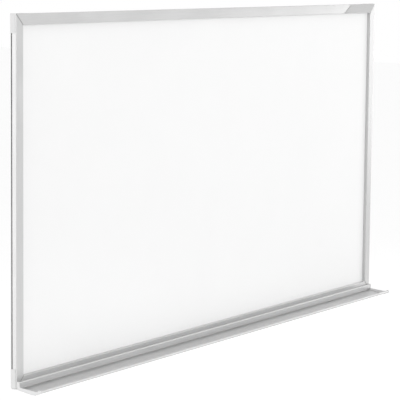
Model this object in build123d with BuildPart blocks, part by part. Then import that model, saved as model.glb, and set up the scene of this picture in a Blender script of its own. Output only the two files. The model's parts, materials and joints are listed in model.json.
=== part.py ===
from build123d import *
import math
import os

# Wall-hung whiteboard: an enamelled steel writing panel in a mitred aluminium frame, with a
# full-width pen tray in the bottom groove and sliding hangers in the channels at the back.
# X runs to the right, Y into the wall and Z up. The origin lies in the wall plane, at the
# middle of the frame. All sizes are in millimetres.
# Frame sections are drawn with u from the outer edge inwards and v from the wall forwards.

# Board
BOARD_W = 2000.0
BOARD_H = 1000.0
SHEET_T = 0.6
CORE_T = 5.0
BACKING_T = 0.4
PANEL_GRIP = 10.0
PANEL_EDGE_GAP = 0.6

# Frame section
FRAME_FACE = 30.0
SURFACE_RECESS = 11.0
WALL = 1.6
SLOT_WEB = 1.4
FACE_RADIUS = 1.2

# T-shaped groove along the outer side of every rail
GROOVE_MOUTH = 3.8
GROOVE_BACK = 2.8
GROOVE_LIP = 1.6
GROOVE_DEPTH = 6.0
GROOVE_UNDERCUT = 1.0

# Rear channel with the lip that hangs on the hangers
HANG_LIP = 12.0
HANG_LIP_T = 1.6

# Corner covers, keys and set screws
CORNER_WEB = 3.5
WEB_SINK = 0.2
COVER_REACH = 51.0
COVER_SKIN = 0.8
COVER_INSET = 3.9
COVER_REAR = 0.6
COVER_RADIUS = 0.5
FILLER_GAP = 0.4
KEY_REACH = 70.0
KEY_MARGIN = 3.4
SET_SCREW_R = 2.5
SET_SCREW_L = 8.0
SET_SCREW_TAIL = 1.5
SET_SCREW_ALONG = 50.0
SOCKET_ACROSS = 2.5
SOCKET_DEPTH = 2.5

# Blank name plate at the right end of the top rail
PLATE_LENGTH = 185.0
PLATE_SLANT = 45.0
PLATE_T = 0.8
PLATE_MARGIN = 0.8

# Hangers, levelling discs and lower brackets
FREE_GAP = 0.4
HANGER_T = 1.7
HANGER_W = 70.0
HANGER_H = 64.0
HANGER_INSET = 300.0
HANGER_RADIUS = 4.0
JOG_H = 2.0
TONGUE_GAP = 0.6
DISC_R = 12.0
DISC_FIT = 0.08
DISC_DROP = 52.0
DISC_THROW = 6.0
FLANGE_R = 15.0
FLANGE_T = 1.0
NOTCH_COUNT = 24
NOTCH_R = 0.9
SCREW_HOLE_R = 3.1
BRACKET_W = 50.0
BRACKET_H = 46.0

# Pen tray
TRAY_T = 2.0
TRAY_BACK = 2.0
TRAY_PLAY = 25.0
UPSTAND_H = 17.5
LEDGE_D = 5.0
LEDGE_FOOT = 5.6
LEDGE_RADIUS = 3.0
FLOOR_DROP = 7.8
FLOOR_RUN = 46.6
LIP_RUN = 75.6
LIP_R = 4.3
LIP_Z = -1.6
PORT_R = 1.6
CAP_T = 2.5
CAP_RIM = 3.4
CAP_EDGE = 0.9
PIN_L = 12.0

# Levels worked out from the sizes above, measured from the wall (v) or the outer edge (u)
rear_web_v = HANGER_T + FREE_GAP
panel_back_v = rear_web_v + SLOT_WEB
surface_v = panel_back_v + BACKING_T + CORE_T + SHEET_T
frame_depth = surface_v + SURFACE_RECESS
panel_u = FRAME_FACE - PANEL_GRIP
slot_u = panel_u - PANEL_EDGE_GAP
slot_wall_u = slot_u - SLOT_WEB
chamber_back_v = surface_v + SLOT_WEB
chamber_front_v = frame_depth - WALL
groove_front_v = GROOVE_BACK + GROOVE_MOUTH
groove_wall_v = groove_front_v + GROOVE_UNDERCUT
channel_u = GROOVE_DEPTH + WALL
mitre_gap = CORNER_WEB / math.sqrt(2)
screw_row_u = DISC_DROP - DISC_THROW
hanger_x = BOARD_W / 2 - HANGER_INSET


def slab(u0, v0, u1, v1, mode=Mode.ADD):
    """Add or cut a rectangle between two opposite corners of the sketch."""
    with Locations(((u0 + u1) / 2, (v0 + v1) / 2)):
        Rectangle(abs(u1 - u0), abs(v1 - v0), mode=mode)


def block(x0, y0, z0, x1, y1, z1, mode=Mode.ADD):
    """Add or cut a box between two opposite corners of the part."""
    with Locations(((x0 + x1) / 2, (y0 + y1) / 2, (z0 + z1) / 2)):
        Box(abs(x1 - x0), abs(y1 - y0), abs(z1 - z0), mode=mode)


def rail_section():
    """Draw the hollow frame section, with u to the right and v upwards."""
    slab(0, 0, FRAME_FACE, frame_depth)
    fillet(vertices().group_by(Axis.Y)[-1], FACE_RADIUS)
    # Slot that grips the panel, and the space behind its rear web
    slab(slot_u, panel_back_v, FRAME_FACE, surface_v, Mode.SUBTRACT)
    slab(slot_wall_u, 0, FRAME_FACE, rear_web_v, Mode.SUBTRACT)
    # Rear channel, open to the wall below its lip
    slab(channel_u, HANG_LIP_T, slot_wall_u, surface_v, Mode.SUBTRACT)
    slab(HANG_LIP, 0, slot_wall_u, HANG_LIP_T, Mode.SUBTRACT)
    # Side groove with its undercut
    slab(0, GROOVE_BACK, GROOVE_LIP, groove_front_v, Mode.SUBTRACT)
    slab(GROOVE_LIP, GROOVE_BACK - GROOVE_UNDERCUT, GROOVE_DEPTH, groove_wall_v, Mode.SUBTRACT)
    # Front chamber that takes the corner keys
    slab(WALL, chamber_back_v, FRAME_FACE - WALL, chamber_front_v, Mode.SUBTRACT)


def mitred_rail(name, plane, length):
    """Make one rail from the section at the plane, mitred at both ends, and write it."""
    out = plane.z_dir
    inward = plane.x_dir
    with BuildPart() as rail:
        with BuildSketch(plane):
            rail_section()
        extrude(amount=length)
        for start, along in ((mitre_gap, out), (length - mitre_gap, -out)):
            split(bisect_by=Plane(plane.origin + out * start, z_dir=along - inward), keep=Keep.TOP)
        # Clearance for the set screws that clamp the corner keys
        screw_u = (channel_u + slot_wall_u) / 2
        for along in (SET_SCREW_ALONG, length - SET_SCREW_ALONG):
            centre = plane.origin + inward * screw_u + out * along + Vector(0, -surface_v, 0)
            with BuildSketch(Plane(centre, z_dir=(0, -1, 0))):
                Circle(SET_SCREW_R)
            extrude(amount=SLOT_WEB, mode=Mode.SUBTRACT)
    rail.part.label = name
    export_step(rail.part, f"parts/{name}.step")


def panel_layer(name, back_v, thickness):
    """Make one layer of the panel, as wide as the frame's slots let it be, and write it."""
    with BuildPart() as layer:
        with BuildSketch(Plane.XZ.offset(back_v)):
            Rectangle(BOARD_W - 2 * panel_u, BOARD_H - 2 * panel_u)
        extrude(amount=thickness)
    layer.part.label = name
    export_step(layer.part, f"parts/{name}.step")


def bottom_left_cover():
    """Make the moulded corner cover: outer skin, groove fillers and the web in the mitre."""
    skin_front = frame_depth - COVER_INSET
    filler = GROOVE_DEPTH - FILLER_GAP
    web_front = frame_depth - WEB_SINK
    diagonal = Vector(1, 0, 1).normalized()
    far = FRAME_FACE + CORNER_WEB
    with BuildPart() as cover:
        # Web that shows between the mitred rails, squared off at both ends of the mitre
        with BuildSketch(Plane((0, 0, 0), x_dir=diagonal, z_dir=diagonal.cross(Vector(0, -1, 0)))):
            corner = math.sqrt(2) * FRAME_FACE
            wall = math.sqrt(2) * WALL
            slab(0, chamber_front_v, corner + mitre_gap, web_front)
            slab(corner - wall, surface_v, corner + mitre_gap, web_front)
            slab(0, GROOVE_BACK, wall + mitre_gap, web_front)
        extrude(amount=CORNER_WEB / 2, both=True)
        block(FRAME_FACE, 0, FRAME_FACE, far, -frame_depth, far, Mode.SUBTRACT)
        block(-far, 0, -far, 0, -frame_depth, far, Mode.SUBTRACT)
        block(-far, 0, -far, far, -frame_depth, 0, Mode.SUBTRACT)
        # L-shaped skin over the side and the underside
        block(-COVER_SKIN, -COVER_REAR, -COVER_SKIN, 0, -skin_front, COVER_REACH)
        block(-COVER_SKIN, -COVER_REAR, -COVER_SKIN, COVER_REACH, -skin_front, 0)
        outer_corner = (-COVER_SKIN, -skin_front / 2, -COVER_SKIN)
        fillet(edges().filter_by(Axis.Y).sort_by_distance(outer_corner)[0], COVER_RADIUS)
        # Fillers that push into the side grooves
        block(0, -GROOVE_BACK, 0, filler, -groove_front_v, COVER_REACH)
        block(0, -GROOVE_BACK, 0, COVER_REACH, -groove_front_v, filler)
    return cover.part.moved(Location((-BOARD_W / 2, 0, -BOARD_H / 2)))


def bottom_left_key():
    """Make the L-shaped die-cast key that joins two rails inside their front chambers."""
    near = WALL + KEY_MARGIN
    wide = FRAME_FACE - near
    screw_u = (channel_u + slot_wall_u) / 2
    with BuildPart() as key:
        with BuildSketch(Plane.XZ.offset(chamber_back_v)):
            slab(near, near, KEY_REACH, wide)
            slab(near, near, wide, KEY_REACH)
        extrude(amount=chamber_front_v - chamber_back_v)
        with BuildSketch(Plane.XZ.offset(chamber_back_v)):
            with Locations((SET_SCREW_ALONG, screw_u), (screw_u, SET_SCREW_ALONG)):
                Circle(SET_SCREW_R)
        extrude(amount=SET_SCREW_L - SET_SCREW_TAIL - SLOT_WEB, mode=Mode.SUBTRACT)
    return key.part.moved(Location((-BOARD_W / 2, 0, -BOARD_H / 2)))


def bottom_left_screws():
    """Make the two set screws of one corner, with hexagon sockets facing the wall."""
    screw_u = (channel_u + slot_wall_u) / 2
    tail = surface_v - SET_SCREW_TAIL
    spots = ((SET_SCREW_ALONG, screw_u), (screw_u, SET_SCREW_ALONG))
    with BuildPart() as screws:
        with BuildSketch(Plane.XZ.offset(tail)):
            with Locations(*spots):
                Circle(SET_SCREW_R)
        extrude(amount=SET_SCREW_L)
        with BuildSketch(Plane.XZ.offset(tail)):
            with Locations(*spots):
                RegularPolygon(SOCKET_ACROSS / 2, 6, major_radius=False)
        extrude(amount=SOCKET_DEPTH, mode=Mode.SUBTRACT)
    return screws.part.moved(Location((-BOARD_W / 2, 0, -BOARD_H / 2)))


def at_all_corners(shape):
    """Return the bottom left shape and its mirror images, by the name of the corner."""
    right = shape.mirror(Plane.YZ)
    return {
        "bottom_left": shape,
        "bottom_right": right,
        "top_left": shape.mirror(Plane.XY),
        "top_right": right.mirror(Plane.XY),
    }


def wall_plate(width, height, centre_x, hole_u, hole_r):
    """Make the wall plate of the top rail, whose jogged tongue stands up in the channel."""
    edge = BOARD_H / 2
    lip_end = edge - HANG_LIP - FREE_GAP
    tongue_back = HANG_LIP_T + FREE_GAP
    tongue_front = tongue_back + HANGER_T
    tongue_top = edge - channel_u - TONGUE_GAP
    left = centre_x - width / 2
    right = centre_x + width / 2
    with BuildPart() as plate:
        block(left, 0, lip_end, right, -HANGER_T, lip_end - height)
        fillet(plate.edges().filter_by(Axis.Y).group_by(Axis.Z)[0], HANGER_RADIUS)
        block(left, 0, lip_end, right, -tongue_front, lip_end - JOG_H)
        block(left, -tongue_back, tongue_top, right, -tongue_front, lip_end)
        with BuildSketch(Plane((centre_x, 0, edge - hole_u), z_dir=(0, -1, 0))):
            Circle(hole_r)
        extrude(amount=HANGER_T, mode=Mode.SUBTRACT)
    return plate.part


def tray_end_cap(name, side):
    """Make the moulded cap that closes one end of the tray, with two pins, and write it."""
    base = -COVER_SKIN - FREE_GAP
    sill = base - TRAY_T - CAP_EDGE
    low = base - TRAY_T - FLOOR_DROP - CAP_EDGE
    front = frame_depth + FREE_GAP
    ledge_front = front + TRAY_T + LEDGE_D + CAP_EDGE
    ledge_top = UPSTAND_H + CAP_EDGE
    lip_v = frame_depth + LIP_RUN
    ledge_v = front + TRAY_T + LEDGE_D / 2
    ledge_z = (LEDGE_FOOT + UPSTAND_H) / 2
    outer = Vector(side * BOARD_W / 2, 0, -BOARD_H / 2)
    plane = Plane(outer, x_dir=(0, -1, 0), z_dir=(-1, 0, 0))
    with BuildPart() as cap:
        with BuildSketch(plane):
            with BuildLine():
                Polyline(
                    (TRAY_BACK, sill),
                    (TRAY_BACK, base),
                    (front, base),
                    (front, ledge_top),
                    (ledge_front, ledge_top),
                    (ledge_front, CAP_RIM),
                    (lip_v - 2 * LIP_R, LIP_Z),
                    (lip_v, LIP_Z),
                    (lip_v, LIP_Z - LIP_R - CAP_EDGE),
                    (lip_v - 3 * LIP_R, low),
                    (front + FLOOR_RUN, low),
                    (front, sill),
                    close=True,
                )
            make_face()
            fillet(vertices().sort_by_distance((ledge_front, ledge_top))[0], LEDGE_RADIUS)
            with Locations((lip_v, LIP_Z)):
                Circle(LIP_R + CAP_EDGE)
        extrude(amount=side * CAP_T)
        with BuildSketch(plane.offset(side * CAP_T)):
            with Locations((lip_v, LIP_Z), (ledge_v, ledge_z)):
                Circle(PORT_R)
        extrude(amount=side * PIN_L)
    cap.part.label = name
    export_step(cap.part, f"parts/{name}.step")


os.makedirs("parts", exist_ok=True)

# Writing panel: steel face, stiff core and backing sheet
panel_layer("backing_sheet", panel_back_v, BACKING_T)
panel_layer("core_panel", panel_back_v + BACKING_T, CORE_T)
panel_layer("writing_surface", panel_back_v + BACKING_T + CORE_T, SHEET_T)

# Frame rails, each drawn at one corner and run to the next
half_w = BOARD_W / 2
half_h = BOARD_H / 2
mitred_rail("top_rail", Plane((half_w, 0, half_h), x_dir=(0, 0, -1), z_dir=(-1, 0, 0)), BOARD_W)
mitred_rail("left_stile", Plane((-half_w, 0, half_h), x_dir=(1, 0, 0), z_dir=(0, 0, -1)), BOARD_H)
mitred_rail("bottom_rail", Plane((-half_w, 0, -half_h), x_dir=(0, 0, 1), z_dir=(1, 0, 0)), BOARD_W)
mitred_rail("right_stile", Plane((half_w, 0, -half_h), x_dir=(-1, 0, 0), z_dir=(0, 0, 1)), BOARD_H)

# Corner covers and keys, one of each at every corner
for prefix, shape in (("corner_cover", bottom_left_cover()), ("corner_key", bottom_left_key())):
    for corner_name, piece in at_all_corners(shape).items():
        piece.label = f"{prefix}_{corner_name}"
        export_step(piece, f"parts/{prefix}_{corner_name}.step")

# Set screws of all the corners, kept together as one group
with BuildPart() as corner_screws:
    for piece in at_all_corners(bottom_left_screws()).values():
        add(piece)
corner_screws.part.label = "corner_screws"
export_step(corner_screws.part, "parts/corner_screws.step")

# Blank name plate, slanted at its left end and cut along the mitre at its right end
with BuildPart() as name_plate:
    with BuildSketch(Plane.XZ.offset(frame_depth)):
        with BuildLine():
            high = half_h - PLATE_MARGIN
            low = half_h - FRAME_FACE + PLATE_MARGIN
            Polyline(
                (half_w - FRAME_FACE + PLATE_MARGIN, low),
                (half_w - PLATE_MARGIN, high),
                (half_w - FRAME_FACE - PLATE_LENGTH + PLATE_SLANT, high),
                (half_w - FRAME_FACE - PLATE_LENGTH, low),
                close=True,
            )
        make_face()
    extrude(amount=PLATE_T)
name_plate.part.label = "name_plate"
export_step(name_plate.part, "parts/name_plate.step")

# Hangers that slide in the top rail, each with an eccentric levelling disc
for side_name, side in (("left", -1), ("right", 1)):
    hanger = wall_plate(HANGER_W, HANGER_H, side * hanger_x, DISC_DROP, DISC_R)
    hanger.label = f"hanger_{side_name}"
    export_step(hanger, f"parts/hanger_{side_name}.step")

    with BuildPart() as disc:
        disc_plane = Plane((side * hanger_x, 0, half_h - DISC_DROP), z_dir=(0, -1, 0))
        with BuildSketch(disc_plane):
            Circle(DISC_R - DISC_FIT)
        extrude(amount=HANGER_T + FREE_GAP)
        with BuildSketch(disc_plane.offset(HANGER_T + FREE_GAP)):
            Circle(FLANGE_R)
            with PolarLocations(FLANGE_R, NOTCH_COUNT):
                Circle(NOTCH_R, mode=Mode.SUBTRACT)
        extrude(amount=FLANGE_T)
        with BuildSketch(Plane((side * hanger_x, 0, half_h - screw_row_u), z_dir=(0, -1, 0))):
            Circle(SCREW_HOLE_R)
        extrude(amount=HANGER_T + FREE_GAP + FLANGE_T, mode=Mode.SUBTRACT)
    disc.part.label = f"level_disc_{side_name}"
    export_step(disc.part, f"parts/level_disc_{side_name}.step")

    upright = wall_plate(BRACKET_W, BRACKET_H, side * hanger_x, screw_row_u, SCREW_HOLE_R)
    bracket = upright.mirror(Plane.XY)
    bracket.label = f"lower_bracket_{side_name}"
    export_step(bracket, f"parts/lower_bracket_{side_name}.step")

# Pen tray: floor, front lip, upstand with its ledge, and the T-rib that hangs in the groove
tray_base = -COVER_SKIN - FREE_GAP
tray_front = frame_depth + FREE_GAP
tray_length = BOARD_W - 2 * CAP_T
rib_length = BOARD_W - 2 * (COVER_REACH + TRAY_PLAY + FREE_GAP)
with BuildPart() as pen_tray:
    tray_plane = Plane((tray_length / 2, 0, -half_h), x_dir=(0, -1, 0), z_dir=(-1, 0, 0))
    with BuildSketch(tray_plane) as tray_section:
        slab(TRAY_BACK, tray_base - TRAY_T, tray_front + TRAY_T, tray_base)
        slab(tray_front, tray_base - TRAY_T, tray_front + TRAY_T, UPSTAND_H)
        slab(tray_front + TRAY_T, LEDGE_FOOT, tray_front + TRAY_T + LEDGE_D, UPSTAND_H)
        ledge_edge = (tray_front + TRAY_T + LEDGE_D, UPSTAND_H)
        fillet(vertices().sort_by_distance(ledge_edge)[0], LEDGE_RADIUS)
        with BuildLine():
            lip_v = frame_depth + LIP_RUN
            floor_start = (tray_front + TRAY_T / 2, tray_base - TRAY_T / 2)
            floor_low = (floor_start[0] + FLOOR_RUN, floor_start[1] - FLOOR_DROP)
            floor_end = (lip_v - LIP_R / 2, LIP_Z - LIP_R + TRAY_T / 2)
            Line(floor_start, floor_low)
            TangentArc(floor_low, floor_end, tangent=(FLOOR_RUN, -FLOOR_DROP))
        trace(line_width=TRAY_T)
        with Locations((lip_v, LIP_Z)):
            Circle(LIP_R)
        ledge_v = tray_front + TRAY_T + LEDGE_D / 2
        with Locations((lip_v, LIP_Z), (ledge_v, (LEDGE_FOOT + UPSTAND_H) / 2)):
            Circle(PORT_R, mode=Mode.SUBTRACT)
    extrude(amount=tray_length)
    rib_plane = Plane((rib_length / 2, 0, -half_h), x_dir=(0, -1, 0), z_dir=(-1, 0, 0))
    with BuildSketch(rib_plane):
        neck_top = GROOVE_LIP + FREE_GAP
        head_back = GROOVE_BACK - GROOVE_UNDERCUT + FREE_GAP
        slab(GROOVE_BACK + FREE_GAP, tray_base, groove_front_v - FREE_GAP, neck_top)
        slab(head_back, neck_top, groove_wall_v - FREE_GAP, GROOVE_DEPTH - FREE_GAP)
    extrude(amount=rib_length)
pen_tray.part.label = "pen_tray"
export_step(pen_tray.part, "parts/pen_tray.step")

tray_end_cap("tray_end_cap_left", -1)
tray_end_cap("tray_end_cap_right", 1)
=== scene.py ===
"""Looks of a wall-hung whiteboard.

Finishes, softened edges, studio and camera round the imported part.
"""

import json
import logging
import math
from dataclasses import dataclass, field
from enum import Enum

import bpy
from mathutils import Matrix, Vector

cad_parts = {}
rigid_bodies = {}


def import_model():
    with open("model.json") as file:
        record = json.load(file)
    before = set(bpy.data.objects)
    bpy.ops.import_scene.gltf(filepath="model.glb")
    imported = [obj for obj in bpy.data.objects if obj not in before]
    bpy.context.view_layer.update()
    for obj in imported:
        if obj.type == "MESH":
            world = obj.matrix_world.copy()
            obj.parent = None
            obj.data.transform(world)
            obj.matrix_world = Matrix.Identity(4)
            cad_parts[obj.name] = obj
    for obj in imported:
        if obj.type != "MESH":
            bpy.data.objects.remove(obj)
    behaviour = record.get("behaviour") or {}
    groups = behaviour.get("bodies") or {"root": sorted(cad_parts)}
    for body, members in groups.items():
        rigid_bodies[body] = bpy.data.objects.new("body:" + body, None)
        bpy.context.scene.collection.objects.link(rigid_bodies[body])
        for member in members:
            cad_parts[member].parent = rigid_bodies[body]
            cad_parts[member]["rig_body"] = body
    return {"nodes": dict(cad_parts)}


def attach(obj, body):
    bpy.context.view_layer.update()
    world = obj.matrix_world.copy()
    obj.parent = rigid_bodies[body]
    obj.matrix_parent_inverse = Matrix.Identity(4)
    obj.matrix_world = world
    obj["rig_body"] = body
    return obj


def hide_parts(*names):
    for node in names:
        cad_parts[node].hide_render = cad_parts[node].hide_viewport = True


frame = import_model()

log = logging.getLogger("whiteboard")

MM = 0.001
CORNERS = ("bottom_left", "bottom_right", "top_left", "top_right")
SIDES = ("left", "right")
WHITE = (1.0, 1.0, 1.0, 1.0)

LINES_GROUP = "drawn_lines"
HANDLING_GROUP = "handling"
FINE_LINES_SHARE = 0.6
BROAD_LINES_SHARE = 0.4
BROAD_LINES_SCALE = 60.0
LINES_CONTRAST = (0.38, 0.62)
HANDLING_CONTRAST = (0.42, 0.72)
RELIEF_STRENGTH = 0.35

MERGE_DISTANCE = 0.01 * MM
COPLANAR_ANGLE = math.radians(1.0)
SHARP_ANGLE = math.radians(40.0)
SMOOTH_ANGLE = math.radians(50.0)
BY_AREA_ALONE = 100
FACES_FORWARD = -0.5


class Run(Enum):
    """The axis that a rail or a sheet was drawn, rolled or brushed along."""

    ACROSS = (0.02, 1.0, 1.0)
    UPRIGHT = (1.0, 1.0, 0.02)


class Sheen(Enum):
    """How a metal surface was left, as the roughness of its polish."""

    SATIN = 0.32
    DULL = 0.5
    ZINC = 0.38


def deselect_all() -> None:
    """Leave nothing selected and no mesh in edit mode."""
    if bpy.context.object is not None and bpy.context.object.mode != "OBJECT":
        bpy.ops.object.mode_set(mode="OBJECT")
    bpy.ops.object.select_all(action="DESELECT")


def activate(piece: bpy.types.Object) -> None:
    """Make one object the selected and active one.

    Args:
        piece: The object to work on.
    """
    deselect_all()
    piece.select_set(True)
    bpy.context.view_layer.objects.active = piece


def add_node(tree: bpy.types.NodeTree, kind: str, **values: object) -> bpy.types.Node:
    """Add a shader node and set its properties and input sockets.

    Args:
        tree: The node tree of a material or a group.
        kind: The node's type name.
        values: Node properties by name, or input sockets by name with "_" for a space.

    Returns:
        The new node.
    """
    node = tree.nodes.new(kind)
    for name, value in values.items():
        if hasattr(node, name):
            setattr(node, name, value)
        else:
            node.inputs[name.replace("_", " ")].default_value = value
    return node


def new_group(name: str, inputs: dict[str, float | tuple],
              outputs: tuple[str, ...]) -> bpy.types.NodeTree:
    """Make an empty shader node group with a vector input and named value sockets.

    Args:
        name: The group's name.
        inputs: Default value of each input by name; a tuple makes a vector socket.
        outputs: Names of the value outputs.

    Returns:
        The group's node tree, with its input and output nodes in place.
    """
    group = bpy.data.node_groups.new(name, "ShaderNodeTree")
    for label, value in inputs.items():
        kind = "NodeSocketVector" if isinstance(value, tuple) else "NodeSocketFloat"
        socket = group.interface.new_socket(name=label, in_out="INPUT", socket_type=kind)
        socket.default_value = value
    for label in outputs:
        group.interface.new_socket(name=label, in_out="OUTPUT", socket_type="NodeSocketFloat")
    group.nodes.new("NodeGroupInput")
    group.nodes.new("NodeGroupOutput")
    return group


def contrast_node(group: bpy.types.NodeTree, limits: tuple[float, float]) -> bpy.types.Node:
    """Add a node that stretches a pattern's middle range to the whole of 0 to 1.

    Args:
        group: The group that the node goes in.
        limits: The values that become 0 and 1.

    Returns:
        The new node.
    """
    low, high = limits
    return add_node(group, "ShaderNodeMapRange", From_Min=low, From_Max=high)


def add_drawn_lines_group() -> None:
    """Build the effect of the die lines along drawn, rolled or brushed metal.

    The group gives a line mask and a height from stretched coordinates.
    """
    inputs = {"Vector": (0.0, 0.0, 0.0), "Stretch": (1.0, 1.0, 1.0), "Fineness": 900.0}
    group = new_group(LINES_GROUP, inputs, ("Mask", "Height"))
    entry = group.nodes["Group Input"]
    exit_node = group.nodes["Group Output"]
    stretch = add_node(group, "ShaderNodeVectorMath", operation="MULTIPLY")
    fine = add_node(group, "ShaderNodeTexNoise", Detail=3.0, Roughness=0.6)
    broad = add_node(group, "ShaderNodeTexNoise", Scale=BROAD_LINES_SCALE, Detail=2.0)
    blend = add_node(group, "ShaderNodeMath", operation="MULTIPLY_ADD")
    blend.inputs[1].default_value = FINE_LINES_SHARE
    shade = add_node(group, "ShaderNodeMath", operation="MULTIPLY")
    shade.inputs[1].default_value = BROAD_LINES_SHARE
    contrast = contrast_node(group, LINES_CONTRAST)
    group.links.new(entry.outputs["Vector"], stretch.inputs[0])
    group.links.new(entry.outputs["Stretch"], stretch.inputs[1])
    group.links.new(stretch.outputs[0], fine.inputs["Vector"])
    group.links.new(stretch.outputs[0], broad.inputs["Vector"])
    group.links.new(entry.outputs["Fineness"], fine.inputs["Scale"])
    group.links.new(broad.outputs["Fac"], shade.inputs[0])
    group.links.new(fine.outputs["Fac"], blend.inputs[0])
    group.links.new(shade.outputs[0], blend.inputs[2])
    group.links.new(blend.outputs[0], contrast.inputs["Value"])
    group.links.new(contrast.outputs[0], exit_node.inputs["Mask"])
    group.links.new(fine.outputs["Fac"], exit_node.inputs["Height"])


def add_handling_group() -> None:
    """Build the faint cloudy marks that wiping and handling leave, as one soft mask."""
    group = new_group(HANDLING_GROUP, {"Vector": (0.0, 0.0, 0.0), "Spread": 4.0}, ("Mask",))
    entry = group.nodes["Group Input"]
    exit_node = group.nodes["Group Output"]
    cloud = add_node(group, "ShaderNodeTexNoise", Detail=5.0, Roughness=0.55, Distortion=0.6)
    ramp = contrast_node(group, HANDLING_CONTRAST)
    group.links.new(entry.outputs["Vector"], cloud.inputs["Vector"])
    group.links.new(entry.outputs["Spread"], cloud.inputs["Scale"])
    group.links.new(cloud.outputs["Fac"], ramp.inputs["Value"])
    group.links.new(ramp.outputs[0], exit_node.inputs["Mask"])


@dataclass(frozen=True)
class Finish:
    """A surface finish that becomes one procedural material.

    Args:
        name: The material's name.
        colour: Base colour as linear red, green and blue.
        roughness: Mean roughness.
        metallic: 1 for bare metal, 0 for paint, plastic or paper.
        run: Direction of the drawn or rolled lines.
        line_depth: How far the lines darken the colour, as a share.
        bump: Height of the fine relief in metres.
        fineness: Scale of the fine pattern.
        coat: Weight of a clear gloss coat.
    """

    name: str
    colour: tuple[float, float, float]
    roughness: float
    metallic: float = 0.0
    run: Run = Run.ACROSS
    line_depth: float = 0.07
    bump: float = 0.00002
    fineness: float = 900.0
    coat: float = 0.0

    def material(self) -> bpy.types.Material:
        """Build the material: a Principled shader with the finish's own pattern.

        Returns:
            The material.
        """
        material = bpy.data.materials.new(self.name)
        material.use_nodes = True
        tree = material.node_tree
        shader = tree.nodes["Principled BSDF"]
        shader.inputs["Base Color"].default_value = (*self.colour, 1.0)
        shader.inputs["Metallic"].default_value = self.metallic
        shader.inputs["Roughness"].default_value = self.roughness
        shader.inputs["Coat Weight"].default_value = self.coat
        place = add_node(tree, "ShaderNodeTexCoord").outputs["Object"]
        self.pattern(tree, shader, place)
        return material

    def pattern(self, tree: bpy.types.NodeTree, shader: bpy.types.Node,
                place: bpy.types.NodeSocket) -> None:
        """Add the finish's own pattern; a plain finish has none.

        Args:
            tree: The material's node tree.
            shader: The Principled shader.
            place: The Object coordinates.
        """

    def texture(self, tree: bpy.types.NodeTree, kind: str, place: bpy.types.NodeSocket,
                **values: float) -> bpy.types.Node:
        """Add a texture of the finish's fineness on the given coordinates.

        Args:
            tree: The material's node tree.
            kind: The texture node's type name.
            place: The coordinates that it reads.
            values: Its other input sockets by name.

        Returns:
            The texture node.
        """
        node = add_node(tree, kind, Scale=self.fineness, **values)
        tree.links.new(place, node.inputs["Vector"])
        return node

    def handling(self, tree: bpy.types.NodeTree, place: bpy.types.NodeSocket,
                 spread: float) -> bpy.types.NodeSocket:
        """Place the marks of wiping and handling.

        Args:
            tree: The material's node tree.
            place: The coordinates that they read.
            spread: Scale of the marks; a larger one makes them smaller.

        Returns:
            Their mask.
        """
        marks = add_node(tree, "ShaderNodeGroup", node_tree=bpy.data.node_groups[HANDLING_GROUP],
                         Spread=spread)
        tree.links.new(place, marks.inputs["Vector"])
        return marks.outputs["Mask"]

    def tint(self, tree: bpy.types.NodeTree, shader: bpy.types.Node,
             mask: bpy.types.NodeSocket) -> None:
        """Darken the base colour by a mask, as far as line_depth says.

        Args:
            tree: The material's node tree.
            shader: The Principled shader.
            mask: Where the darker shade shows.
        """
        dark = tuple(c * (1.0 - self.line_depth) for c in self.colour)
        mix = add_node(tree, "ShaderNodeMix", data_type="RGBA")
        mix.inputs["A"].default_value = (*self.colour, 1.0)
        mix.inputs["B"].default_value = (*dark, 1.0)
        tree.links.new(mask, mix.inputs["Factor"])
        tree.links.new(mix.outputs["Result"], shader.inputs["Base Color"])

    def roughen(self, tree: bpy.types.NodeTree, shader: bpy.types.Node,
                mask: bpy.types.NodeSocket, spread: float) -> None:
        """Vary the roughness about its mean by a mask.

        Args:
            tree: The material's node tree.
            shader: The Principled shader.
            mask: A value from 0 to 1.
            spread: How far the roughness moves each way.
        """
        level = add_node(tree, "ShaderNodeMapRange", To_Min=self.roughness - spread,
                         To_Max=self.roughness + spread)
        tree.links.new(mask, level.inputs["Value"])
        tree.links.new(level.outputs[0], shader.inputs["Roughness"])

    def relief(self, tree: bpy.types.NodeTree, shader: bpy.types.Node,
               height: bpy.types.NodeSocket) -> None:
        """Raise a height pattern on the surface.

        Args:
            tree: The material's node tree.
            shader: The Principled shader.
            height: The pattern's height, from 0 to 1.
        """
        bump = add_node(tree, "ShaderNodeBump", Strength=RELIEF_STRENGTH, Distance=self.bump)
        tree.links.new(height, bump.inputs["Height"])
        tree.links.new(bump.outputs["Normal"], shader.inputs["Normal"])


@dataclass(frozen=True)
class DrawnMetal(Finish):
    """Anodised or rolled metal with fine lines along its length.

    Args:
        marks: Scale of the handling marks.
        unevenness: How far these marks move the roughness each way.
    """

    metallic: float = 1.0
    marks: float = 6.0
    unevenness: float = 0.04

    def pattern(self, tree: bpy.types.NodeTree, shader: bpy.types.Node,
                place: bpy.types.NodeSocket) -> None:
        """Add the lines and the handling marks.

        Args:
            tree: The material's node tree.
            shader: The Principled shader.
            place: The Object coordinates.
        """
        lines = add_node(tree, "ShaderNodeGroup", node_tree=bpy.data.node_groups[LINES_GROUP],
                         Stretch=self.run.value, Fineness=self.fineness)
        tree.links.new(place, lines.inputs["Vector"])
        self.tint(tree, shader, lines.outputs["Mask"])
        self.roughen(tree, shader, self.handling(tree, place, self.marks), self.unevenness)
        self.relief(tree, shader, lines.outputs["Height"])


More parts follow.
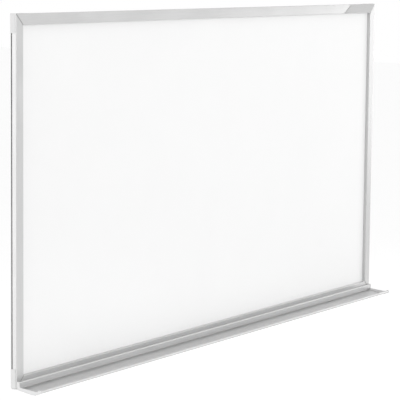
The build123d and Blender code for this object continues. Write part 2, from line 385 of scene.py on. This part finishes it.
@dataclass(frozen=True)
class Moulded(Finish):
    """Moulded plastic or cast metal with the even fine grain of its mould.

    Args:
        marks: Scale of the handling marks.
        unevenness: How far these marks move the roughness each way.
    """

    marks: float = 30.0
    unevenness: float = 0.05

    def pattern(self, tree: bpy.types.NodeTree, shader: bpy.types.Node,
                place: bpy.types.NodeSocket) -> None:
        """Add the grain and the handling marks.

        Args:
            tree: The material's node tree.
            shader: The Principled shader.
            place: The Object coordinates.
        """
        grain = self.texture(tree, "ShaderNodeTexVoronoi", place)
        handled = self.handling(tree, place, self.marks)
        self.tint(tree, shader, handled)
        self.roughen(tree, shader, handled, self.unevenness)
        self.relief(tree, shader, grain.outputs["Distance"])


@dataclass(frozen=True)
class Enamel(Finish):
    """Glassy white enamel with a faint orange peel and wiping marks.

    Args:
        marks: Scale of the wiping marks.
        unevenness: How far these marks move the roughness each way.
    """

    marks: float = 3.0
    unevenness: float = 0.03

    def pattern(self, tree: bpy.types.NodeTree, shader: bpy.types.Node,
                place: bpy.types.NodeSocket) -> None:
        """Add the orange peel and the wiping marks.

        Args:
            tree: The material's node tree.
            shader: The Principled shader.
            place: The Object coordinates.
        """
        peel = self.texture(tree, "ShaderNodeTexNoise", place, Detail=2.0)
        wiped = self.handling(tree, place, self.marks)
        self.tint(tree, shader, wiped)
        self.roughen(tree, shader, wiped, self.unevenness)
        self.relief(tree, shader, peel.outputs["Fac"])


@dataclass(frozen=True)
class ZincSheet(Finish):
    """Hot-dip galvanised sheet with the spangle of zinc crystals.

    Args:
        unevenness: How far the crystals move the roughness each way.
    """

    metallic: float = 1.0
    unevenness: float = 0.1

    def pattern(self, tree: bpy.types.NodeTree, shader: bpy.types.Node,
                place: bpy.types.NodeSocket) -> None:
        """Add the crystals, each with its own tone and gloss.

        Args:
            tree: The material's node tree.
            shader: The Principled shader.
            place: The Object coordinates.
        """
        spangle = self.texture(tree, "ShaderNodeTexVoronoi", place)
        tone = add_node(tree, "ShaderNodeSeparateColor")
        tree.links.new(spangle.outputs["Color"], tone.inputs["Color"])
        self.tint(tree, shader, tone.outputs["Red"])
        self.roughen(tree, shader, tone.outputs["Green"], self.unevenness)
        self.relief(tree, shader, spangle.outputs["Distance"])


@dataclass(frozen=True)
class KraftBoard(Finish):
    """Brown board with short paper fibres."""

    def pattern(self, tree: bpy.types.NodeTree, shader: bpy.types.Node,
                place: bpy.types.NodeSocket) -> None:
        """Add the fibres.

        Args:
            tree: The material's node tree.
            shader: The Principled shader.
            place: The Object coordinates.
        """
        fibre = self.texture(tree, "ShaderNodeTexNoise", place, Detail=6.0, Distortion=1.5)
        self.tint(tree, shader, fibre.outputs["Fac"])
        self.relief(tree, shader, fibre.outputs["Fac"])


ANODISED = (0.59, 0.59, 0.59)
RAIL_ACROSS = DrawnMetal("anodised_rail_across", ANODISED, Sheen.SATIN.value)
RAIL_UPRIGHT = DrawnMetal("anodised_rail_upright", ANODISED, Sheen.SATIN.value, run=Run.UPRIGHT)
TRAY_METAL = DrawnMetal("anodised_tray", (0.63, 0.63, 0.63), Sheen.DULL.value)
PLATE_METAL = DrawnMetal("anodised_plate", (0.43, 0.43, 0.43), Sheen.DULL.value)
SCREW_STEEL = DrawnMetal("screw_steel", (0.45, 0.45, 0.46), 0.35, run=Run.UPRIGHT)
COVER_PLASTIC = Moulded("cover_plastic", (0.76, 0.76, 0.76), 0.45, line_depth=0.06)
CAP_PLASTIC = Moulded("cap_plastic", (0.56, 0.56, 0.56), 0.42, line_depth=0.06)
# Darker grey for the mitre strip's front faces: painted shade standing in for the shade in the
# mitre gap.
MITRE_PAINTED_SHADE = Moulded("mitre_painted_shade", (0.33, 0.33, 0.33), 0.55, line_depth=0.05)
DISC_NYLON = Moulded("disc_nylon", (0.055, 0.055, 0.058), 0.5, line_depth=0.15)
KEY_CASTING = Moulded("key_casting", (0.42, 0.42, 0.43), 0.5, metallic=1.0, line_depth=0.1)
WHITE_ENAMEL = Enamel("white_enamel", (0.92, 0.92, 0.92), 0.14, fineness=260.0,
                      line_depth=0.012, coat=0.3)
GALVANISED = ZincSheet("galvanised_back", (0.55, 0.56, 0.57), Sheen.ZINC.value, fineness=90.0,
                       line_depth=0.22)
HANGER_ZINC = ZincSheet("hanger_zinc", (0.6, 0.61, 0.62), Sheen.ZINC.value, fineness=260.0,
                        line_depth=0.14)
CORE_BOARD = KraftBoard("core_board", (0.36, 0.25, 0.14), 0.85, fineness=240.0, line_depth=0.35)


def material_of(finish: Finish) -> bpy.types.Material:
    """Find the material of a finish, or build it on first use.

    Args:
        finish: The finish.

    Returns:
        Its material.
    """
    return bpy.data.materials.get(finish.name) or finish.material()


def dress(piece: bpy.types.Object, finish: Finish) -> None:
    """Give a piece one finish all over.

    Args:
        piece: The object to dress.
        finish: The finish that it gets.
    """
    piece.data.materials.clear()
    piece.data.materials.append(material_of(finish))
    log.info("%s: %s", piece.name, finish.name)


@dataclass
class SoftenedNode:
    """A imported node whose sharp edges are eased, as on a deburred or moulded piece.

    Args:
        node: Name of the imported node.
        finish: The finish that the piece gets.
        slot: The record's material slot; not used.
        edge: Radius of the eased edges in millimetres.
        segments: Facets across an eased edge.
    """

    node: str
    finish: Finish
    slot: str
    edge: float
    segments: int = 2

    def merged_copy(self) -> bpy.types.Object:
        """Copy the node's mesh and join its loose triangles to whole faces.

        Returns:
            The copy, as a new object.
        """
        source = frame["nodes"][self.node]
        piece = bpy.data.objects.new(f"{self.node}_eased", source.data.copy())
        bpy.context.scene.collection.objects.link(piece)
        activate(piece)
        bpy.ops.object.mode_set(mode="EDIT")
        bpy.ops.mesh.select_all(action="SELECT")
        bpy.ops.mesh.remove_doubles(threshold=MERGE_DISTANCE)
        bpy.ops.mesh.dissolve_limited(angle_limit=COPLANAR_ANGLE)
        bpy.ops.object.mode_set(mode="OBJECT")
        if piece.data.attributes.get("custom_normal"):
            bpy.ops.mesh.customdata_custom_splitnormals_clear()
        return piece

    def ease_edges(self, piece: bpy.types.Object) -> None:
        """Round the sharp edges, shade the piece by angle and keep its flat faces flat.

        Args:
            piece: The merged copy.
        """
        activate(piece)
        bevel = piece.modifiers.new("eased_edges", "BEVEL")
        bevel.width = self.edge * MM
        bevel.segments = self.segments
        bevel.limit_method = "ANGLE"
        bevel.angle_limit = SHARP_ANGLE
        bpy.ops.object.modifier_apply(modifier=bevel.name)
        bpy.ops.object.shade_smooth_by_angle(angle=SMOOTH_ANGLE)
        flats = piece.modifiers.new("flat_faces", "WEIGHTED_NORMAL")
        flats.mode = "FACE_AREA"
        flats.weight = BY_AREA_ALONE
        flats.keep_sharp = True
        bpy.ops.object.modifier_apply(modifier=flats.name)

    def build(self) -> bpy.types.Object:
        """Make the eased piece, let it ride where the node rides and hide the node.

        Returns:
            The finished piece.
        """
        piece = self.merged_copy()
        self.ease_edges(piece)
        dress(piece, self.finish)
        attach(piece, frame["nodes"][self.node]["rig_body"])
        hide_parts(self.node)
        return piece


@dataclass
class CornerCover(SoftenedNode):
    """A moulded corner cover whose mitre strip gets a darker colour, as painted shade that
    stands in for the shade in the mitre gap.

    Args:
        strip: Finish of the strip between the rails: a darker grey, painted shade for the mitre
            gap.
        strip_front: How far forward of the wall the strip's face lies, in millimetres.
    """

    strip: Finish = MITRE_PAINTED_SHADE
    strip_front: float = 19.6

    def build(self) -> bpy.types.Object:
        """Make the eased cover and give the forward faces of its mitre strip a darker grey, as
        painted shade.

        Returns:
            The finished cover.
        """
        piece = super().build()
        piece.data.materials.append(material_of(self.strip))
        # The forward faces of the mitre strip get the darker grey, as painted shade for the
        # mitre gap.
        for face in piece.data.polygons:
            if face.center.y < -self.strip_front * MM and face.normal.y < FACES_FORWARD:
                face.material_index = 1
        return piece


@dataclass
class WritingPanel:
    """The enamelled face with its core and backing sheet.

    Args:
        layers: Finish of each layer's node.
    """

    layers: dict[str, Finish] = field(default_factory=lambda: {
        "writing_surface": WHITE_ENAMEL,
        "core_panel": CORE_BOARD,
        "backing_sheet": GALVANISED,
    })

    def build(self) -> None:
        """Dress the three layers."""
        for node, finish in self.layers.items():
            dress(frame["nodes"][node], finish)


@dataclass
class FrameRails:
    """The four mitred rails, their keys, screws, corner covers and the blank plate.

    Args:
        rails: Finish of each rail's node.
        edge: Radius of the rails' eased edges in millimetres.
        cover_edge: The same of the corner covers.
        plate_edge: The same of the plate.
    """

    rails: dict[str, Finish] = field(default_factory=lambda: {
        "top_rail": RAIL_ACROSS,
        "bottom_rail": RAIL_ACROSS,
        "left_stile": RAIL_UPRIGHT,
        "right_stile": RAIL_UPRIGHT,
    })
    edge: float = 0.3
    cover_edge: float = 0.35
    plate_edge: float = 0.25

    def build(self) -> None:
        """Ease and dress the rails and what sits in their corners."""
        for node, finish in self.rails.items():
            SoftenedNode(node, finish, "anodised_aluminium", self.edge).build()
        for corner in CORNERS:
            CornerCover(f"corner_cover_{corner}", COVER_PLASTIC, "corner_plastic",
                        self.cover_edge).build()
            dress(frame["nodes"][f"corner_key_{corner}"], KEY_CASTING)
        dress(frame["nodes"]["corner_screws"], SCREW_STEEL)
        SoftenedNode("name_plate", PLATE_METAL, "plate_aluminium", self.plate_edge).build()


@dataclass
class PenTray:
    """The tray with its two end caps.

    Args:
        edge: Radius of the tray's eased edges in millimetres.
        cap_edge: The same of the caps.
    """

    edge: float = 0.3
    cap_edge: float = 0.6

    def build(self) -> None:
        """Ease and dress the tray and its caps."""
        SoftenedNode("pen_tray", TRAY_METAL, "tray_aluminium", self.edge).build()
        for side in SIDES:
            SoftenedNode(f"tray_end_cap_{side}", CAP_PLASTIC, "cap_plastic",
                         self.cap_edge).build()


@dataclass
class WallFittings:
    """The hangers with their levelling discs, and the lower brackets.

    Args:
        edge: Radius of the plates' eased edges in millimetres.
        disc_edge: The same of the discs.
    """

    edge: float = 0.25
    disc_edge: float = 0.2

    def build(self) -> None:
        """Ease and dress the fittings behind the board."""
        for side in SIDES:
            for plate in ("hanger", "lower_bracket"):
                SoftenedNode(f"{plate}_{side}", HANGER_ZINC, "hanger_steel", self.edge).build()
            SoftenedNode(f"level_disc_{side}", DISC_NYLON, "disc_plastic",
                         self.disc_edge).build()


@dataclass
class SoftLamp:
    """One large soft lamp that the camera doesn't see.

    Args:
        name: The lamp's name.
        place: Where it stands, in metres.
        aim: The point that it faces, in metres.
        size: Width and height of its face in metres.
        power: Its output in watts.
    """

    name: str
    place: tuple[float, float, float]
    aim: tuple[float, float, float]
    size: tuple[float, float]
    power: float

    def build(self) -> None:
        """Add the lamp and turn it to its aim."""
        data = bpy.data.lights.new(self.name, "AREA")
        data.shape = "RECTANGLE"
        data.size, data.size_y = self.size
        data.energy = self.power
        lamp = bpy.data.objects.new(self.name, data)
        bpy.context.scene.collection.objects.link(lamp)
        lamp.visible_camera = False
        lamp.location = self.place
        sight = Vector(self.aim) - Vector(self.place)
        lamp.rotation_euler = sight.to_track_quat("-Z", "Y").to_euler()


@dataclass
class Studio:
    """Pale floor, even world light and soft lamps.

    Args:
        floor_z: Height of the floor in metres.
        floor_half: Half the width of the floor in metres.
        floor_colour: Its grey.
        floor_roughness: Its roughness.
        floor_glow: Its own light, in the rays that show it.
        world_light: Strength of the even light on the object.
        lamps: The soft lamps.
    """

    floor_z: float = -1.35
    floor_half: float = 30.0
    floor_colour: float = 0.93
    floor_roughness: float = 0.9
    floor_glow: float = 0.25
    world_light: float = 0.75
    lamps: tuple[SoftLamp, ...] = (
        SoftLamp("front_lamp", (1.0, -6.0, 1.5), (0.0, 0.0, 0.0), (5.0, 3.0), 88.0),
        SoftLamp("right_lamp", (6.5, -1.5, 0.6), (0.5, 0.0, 0.0), (2.0, 2.5), 36.0),
        SoftLamp("left_lamp", (-5.5, -0.8, 3.0), (-1.0, 0.0, 0.0), (2.5, 2.5), 60.0),
        SoftLamp("side_lamp", (-4.2, 3.0, 0.2), (-1.0, 0.0, 0.0), (2.4, 3.5), 20.0),
    )

    def build(self) -> None:
        """Set up the floor, the world and the lamps."""
        self.floor()
        self.world()
        for lamp in self.lamps:
            lamp.build()
        bpy.context.scene.view_settings.view_transform = "Standard"

    def seen(self, tree: bpy.types.NodeTree) -> bpy.types.NodeSocket:
        """Tell rays that show the studio from those that light the object.

        Args:
            tree: The node tree of the world or the floor.

        Returns:
            1 for camera, glossy and transmission rays, 0 for the rest.
        """
        path = add_node(tree, "ShaderNodeLightPath")
        either = add_node(tree, "ShaderNodeMath", operation="MAXIMUM")
        any_of = add_node(tree, "ShaderNodeMath", operation="MAXIMUM")
        tree.links.new(path.outputs["Is Camera Ray"], either.inputs[0])
        tree.links.new(path.outputs["Is Glossy Ray"], either.inputs[1])
        tree.links.new(either.outputs[0], any_of.inputs[0])
        tree.links.new(path.outputs["Is Transmission Ray"], any_of.inputs[1])
        return any_of.outputs[0]

    def floor(self) -> None:
        """Lay the floor below the board, with a little glow in the rays that show it."""
        deselect_all()
        bpy.ops.mesh.primitive_plane_add(size=2 * self.floor_half,
                                         location=(0.0, 0.0, self.floor_z))
        plane = bpy.context.object
        plane.name = "floor"
        bpy.ops.object.transform_apply(location=True, rotation=False, scale=False)
        material = bpy.data.materials.new("pale_floor")
        material.use_nodes = True
        tree = material.node_tree
        shader = tree.nodes["Principled BSDF"]
        shader.inputs["Base Color"].default_value = (self.floor_colour,) * 3 + (1.0,)
        shader.inputs["Roughness"].default_value = self.floor_roughness
        glow = add_node(tree, "ShaderNodeMath", operation="MULTIPLY")
        glow.inputs[1].default_value = self.floor_glow
        shader.inputs["Emission Color"].default_value = WHITE
        tree.links.new(self.seen(tree), glow.inputs[0])
        tree.links.new(glow.outputs[0], shader.inputs["Emission Strength"])
        plane.data.materials.append(material)

    def world(self) -> None:
        """Light evenly from all round, and show plain white behind and in the metal."""
        world = bpy.data.worlds.new("studio")
        bpy.context.scene.world = world
        world.use_nodes = True
        tree = world.node_tree
        backdrop = tree.nodes["Background"]
        level = add_node(tree, "ShaderNodeMapRange", To_Min=self.world_light, To_Max=1.0)
        backdrop.inputs["Color"].default_value = WHITE
        tree.links.new(self.seen(tree), level.inputs["Value"])
        tree.links.new(level.outputs[0], backdrop.inputs["Strength"])


@dataclass
class ViewCamera:
    """The camera at the photograph's angle: far off to the left and a little above.

    Args:
        place: Where it stands, in metres.
        yaw: Turn from the board's normal to the right, in degrees.
        pitch: Tilt, below the horizon when negative, in degrees.
        roll: Turn about the line of sight, in degrees.
        focal_px: Focal length in pixels of the photograph.
        frame_px: Width of the photograph in pixels.
        sensor_mm: Width of the sensor in millimetres.
        far_clip: How far the camera sees, in metres.
    """

    place: tuple[float, float, float] = (-5.0873, -3.2355, 0.6439)
    yaw: float = 57.174
    pitch: float = -6.938
    roll: float = 0.571
    focal_px: float = 1969.9
    frame_px: float = 400.0
    sensor_mm: float = 36.0
    far_clip: float = 100.0

    def build(self) -> None:
        """Add the camera and make it the scene's camera."""
        data = bpy.data.cameras.new("view")
        data.sensor_width = self.sensor_mm
        data.lens = self.focal_px / self.frame_px * self.sensor_mm
        data.clip_end = self.far_clip
        camera = bpy.data.objects.new("view", data)
        bpy.context.scene.collection.objects.link(camera)
        turn = Matrix.Rotation(math.radians(-self.yaw), 4, "Z")
        tilt = Matrix.Rotation(math.radians(90.0 + self.pitch), 4, "X")
        bank = Matrix.Rotation(math.radians(self.roll), 4, "Z")
        camera.matrix_world = Matrix.Translation(self.place) @ turn @ tilt @ bank
        bpy.context.scene.camera = camera


def main() -> None:
    """Build the looks in order and report each piece."""
    logging.basicConfig(level=logging.INFO, format="%(name)s %(message)s")
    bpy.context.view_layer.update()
    add_drawn_lines_group()
    add_handling_group()
    for assembly in (WritingPanel(), FrameRails(), PenTray(), WallFittings(), Studio(),
                     ViewCamera()):
        assembly.build()


if __name__ == "__main__":
    main()
